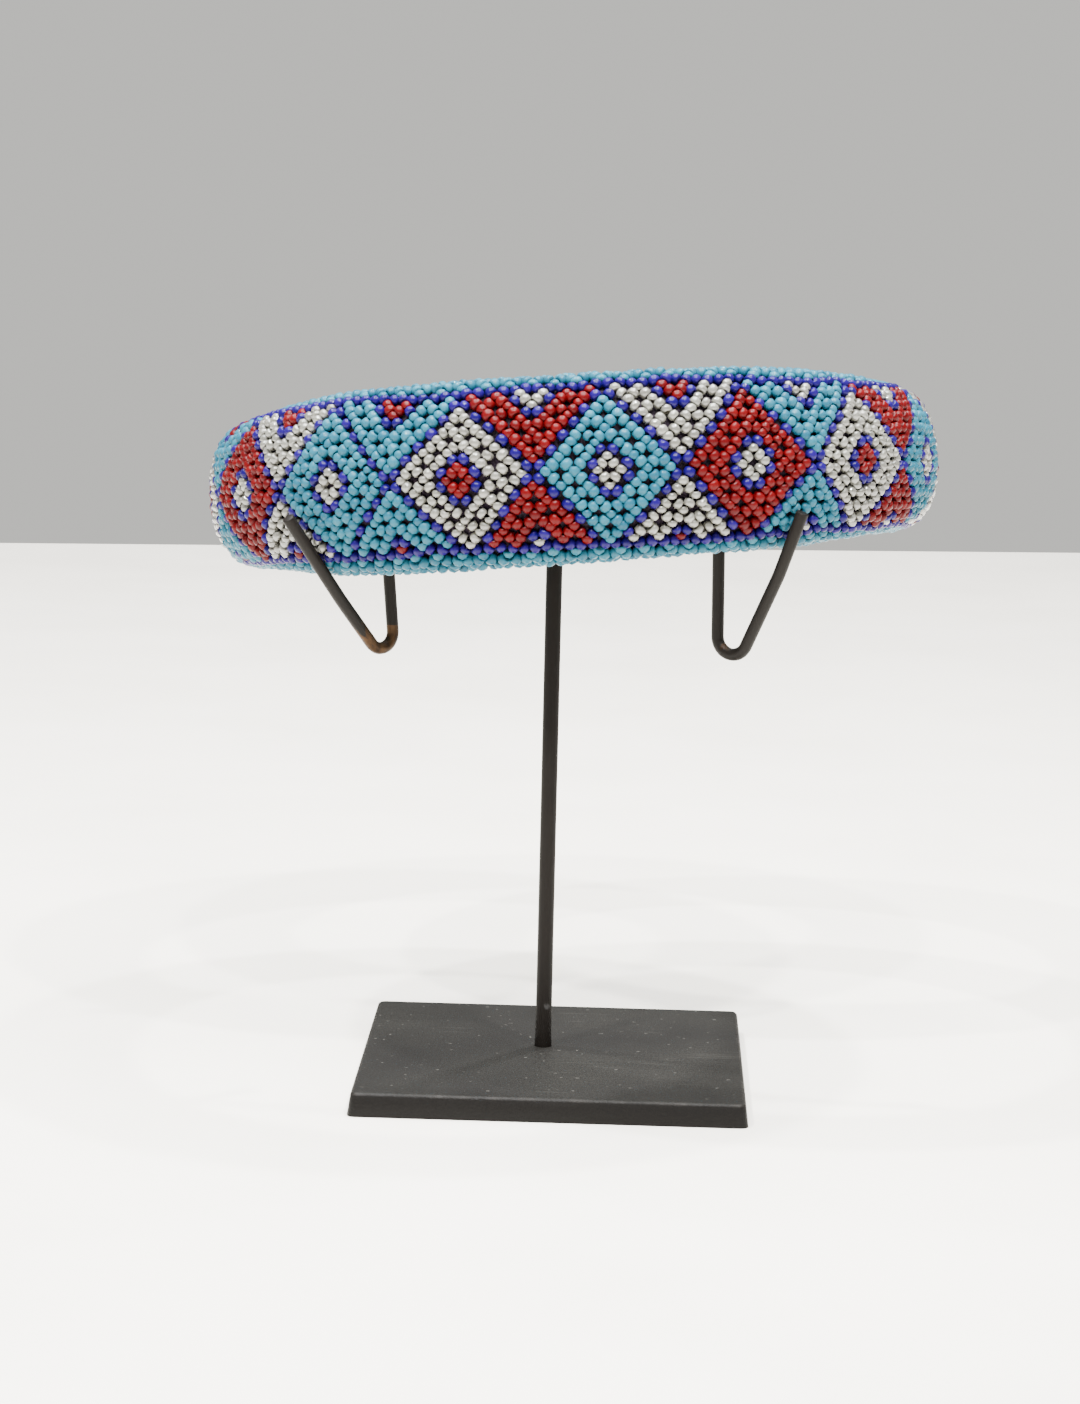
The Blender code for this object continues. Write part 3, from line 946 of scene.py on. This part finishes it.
rod_paint, tree, shader = new_material("rod_paint", 0.45, Specular_IOR_Level=0.12)
place = node(tree, "ShaderNodeTexCoord").outputs["Object"]
xyz = node(tree, "ShaderNodeSeparateXYZ", {0: place}).outputs
placed = place_group(tree, dusty_paint, {"Paint": ROD_PAINT, "Dust": ROD_DUST, "Lint": LINT, "Amount": 0.2})
stretched = node(tree, "ShaderNodeMapping", {"Vector": place, "Scale": (1, 1, 0.35)}).outputs[0]
streaks = noise_mask(tree, stretched, 520.0, 0.35, 0.65, detail=3.0)
outward_on_arm = node(
    tree, "ShaderNodeVectorMath", {0: place, 1: ARM_OUTWARD}, operation="DOT_PRODUCT").outputs["Value"]
off_middle = math_node(tree, "ABSOLUTE", math_node(tree, "SUBTRACT", outward_on_arm, ARM_MIDDLE))
climb = math_node(tree, "MULTIPLY", off_middle, EDGE_CLIMBS)
arm_level = math_node(tree, "ADD", math_node(tree, "MULTIPLY", streaks, STREAKS), ARM_EDGE - STREAKS / 2)
arm_level = math_node(tree, "ADD", arm_level, climb)
on_leg = below(tree, xyz["Z"], LEG_EDGE, 0.0002)
on_arm = below(tree, xyz["Z"], arm_level, 0.0015)
is_leg = math_node(tree, "GREATER_THAN", xyz["Y"], LEG_BEHIND_Y)
on_leg = math_node(tree, "MULTIPLY", on_leg, is_leg)
on_arm = math_node(tree, "MULTIPLY", on_arm, math_node(tree, "SUBTRACT", 1.0, is_leg))
bare = math_node(tree, "MAXIMUM", on_leg, on_arm)
bare = math_node(tree, "MULTIPLY", bare, math_node(tree, "LESS_THAN", xyz["X"], -0.03))
bare = math_node(tree, "MAXIMUM", bare, near(tree, place, RIGHT_RUST, 0.0026))
tarnish = noise_mask(tree, stretched, 300.0, 0.3, 0.75, detail=4.0)
metal = mix_colours(tree, tarnish, BARE_DARK, BARE_LIGHT)
# A pale spot is mixed in near the post's foot.
with_pale_spot = mix_colours(tree, near(tree, place, POST_PALE_SPOT, 0.0014), placed["Color"], PALE_SPOT)
tree.links.new(mix_colours(tree, bare, with_pale_spot, metal), shader.inputs["Base Color"])
tree.links.new(placed["Roughness"], shader.inputs["Roughness"])
tree.links.new(math_node(tree, "MULTIPLY", bare, 0.5), shader.inputs["Metallic"])
bump = node(tree, "ShaderNodeBump", {"Height": streaks, "Strength": 0.2, "Distance": 0.0002})
tree.links.new(bump.outputs["Normal"], shader.inputs["Normal"])
for piece in (post, wire, joint):
    cover(piece, rod_paint)
print("rod_paint has", len(tree.nodes), "nodes")

# %% [markdown]
# Last, every piece is fastened to the body it rides on, and the imported node that it stands for is hidden.

# %% Fasten the pieces to the frame
STANDS_FOR = {
    "beaded_band": ("beads", [core, *nets.values()]),
    "stand_base": ("base_paint", [base]),
    "post_with_hooks": ("stand_paint", [post, wire, joint]),
}
for cad_node, (slot, pieces) in STANDS_FOR.items():
    for piece in pieces:
        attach(piece, "root")
        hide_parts(cad_node)
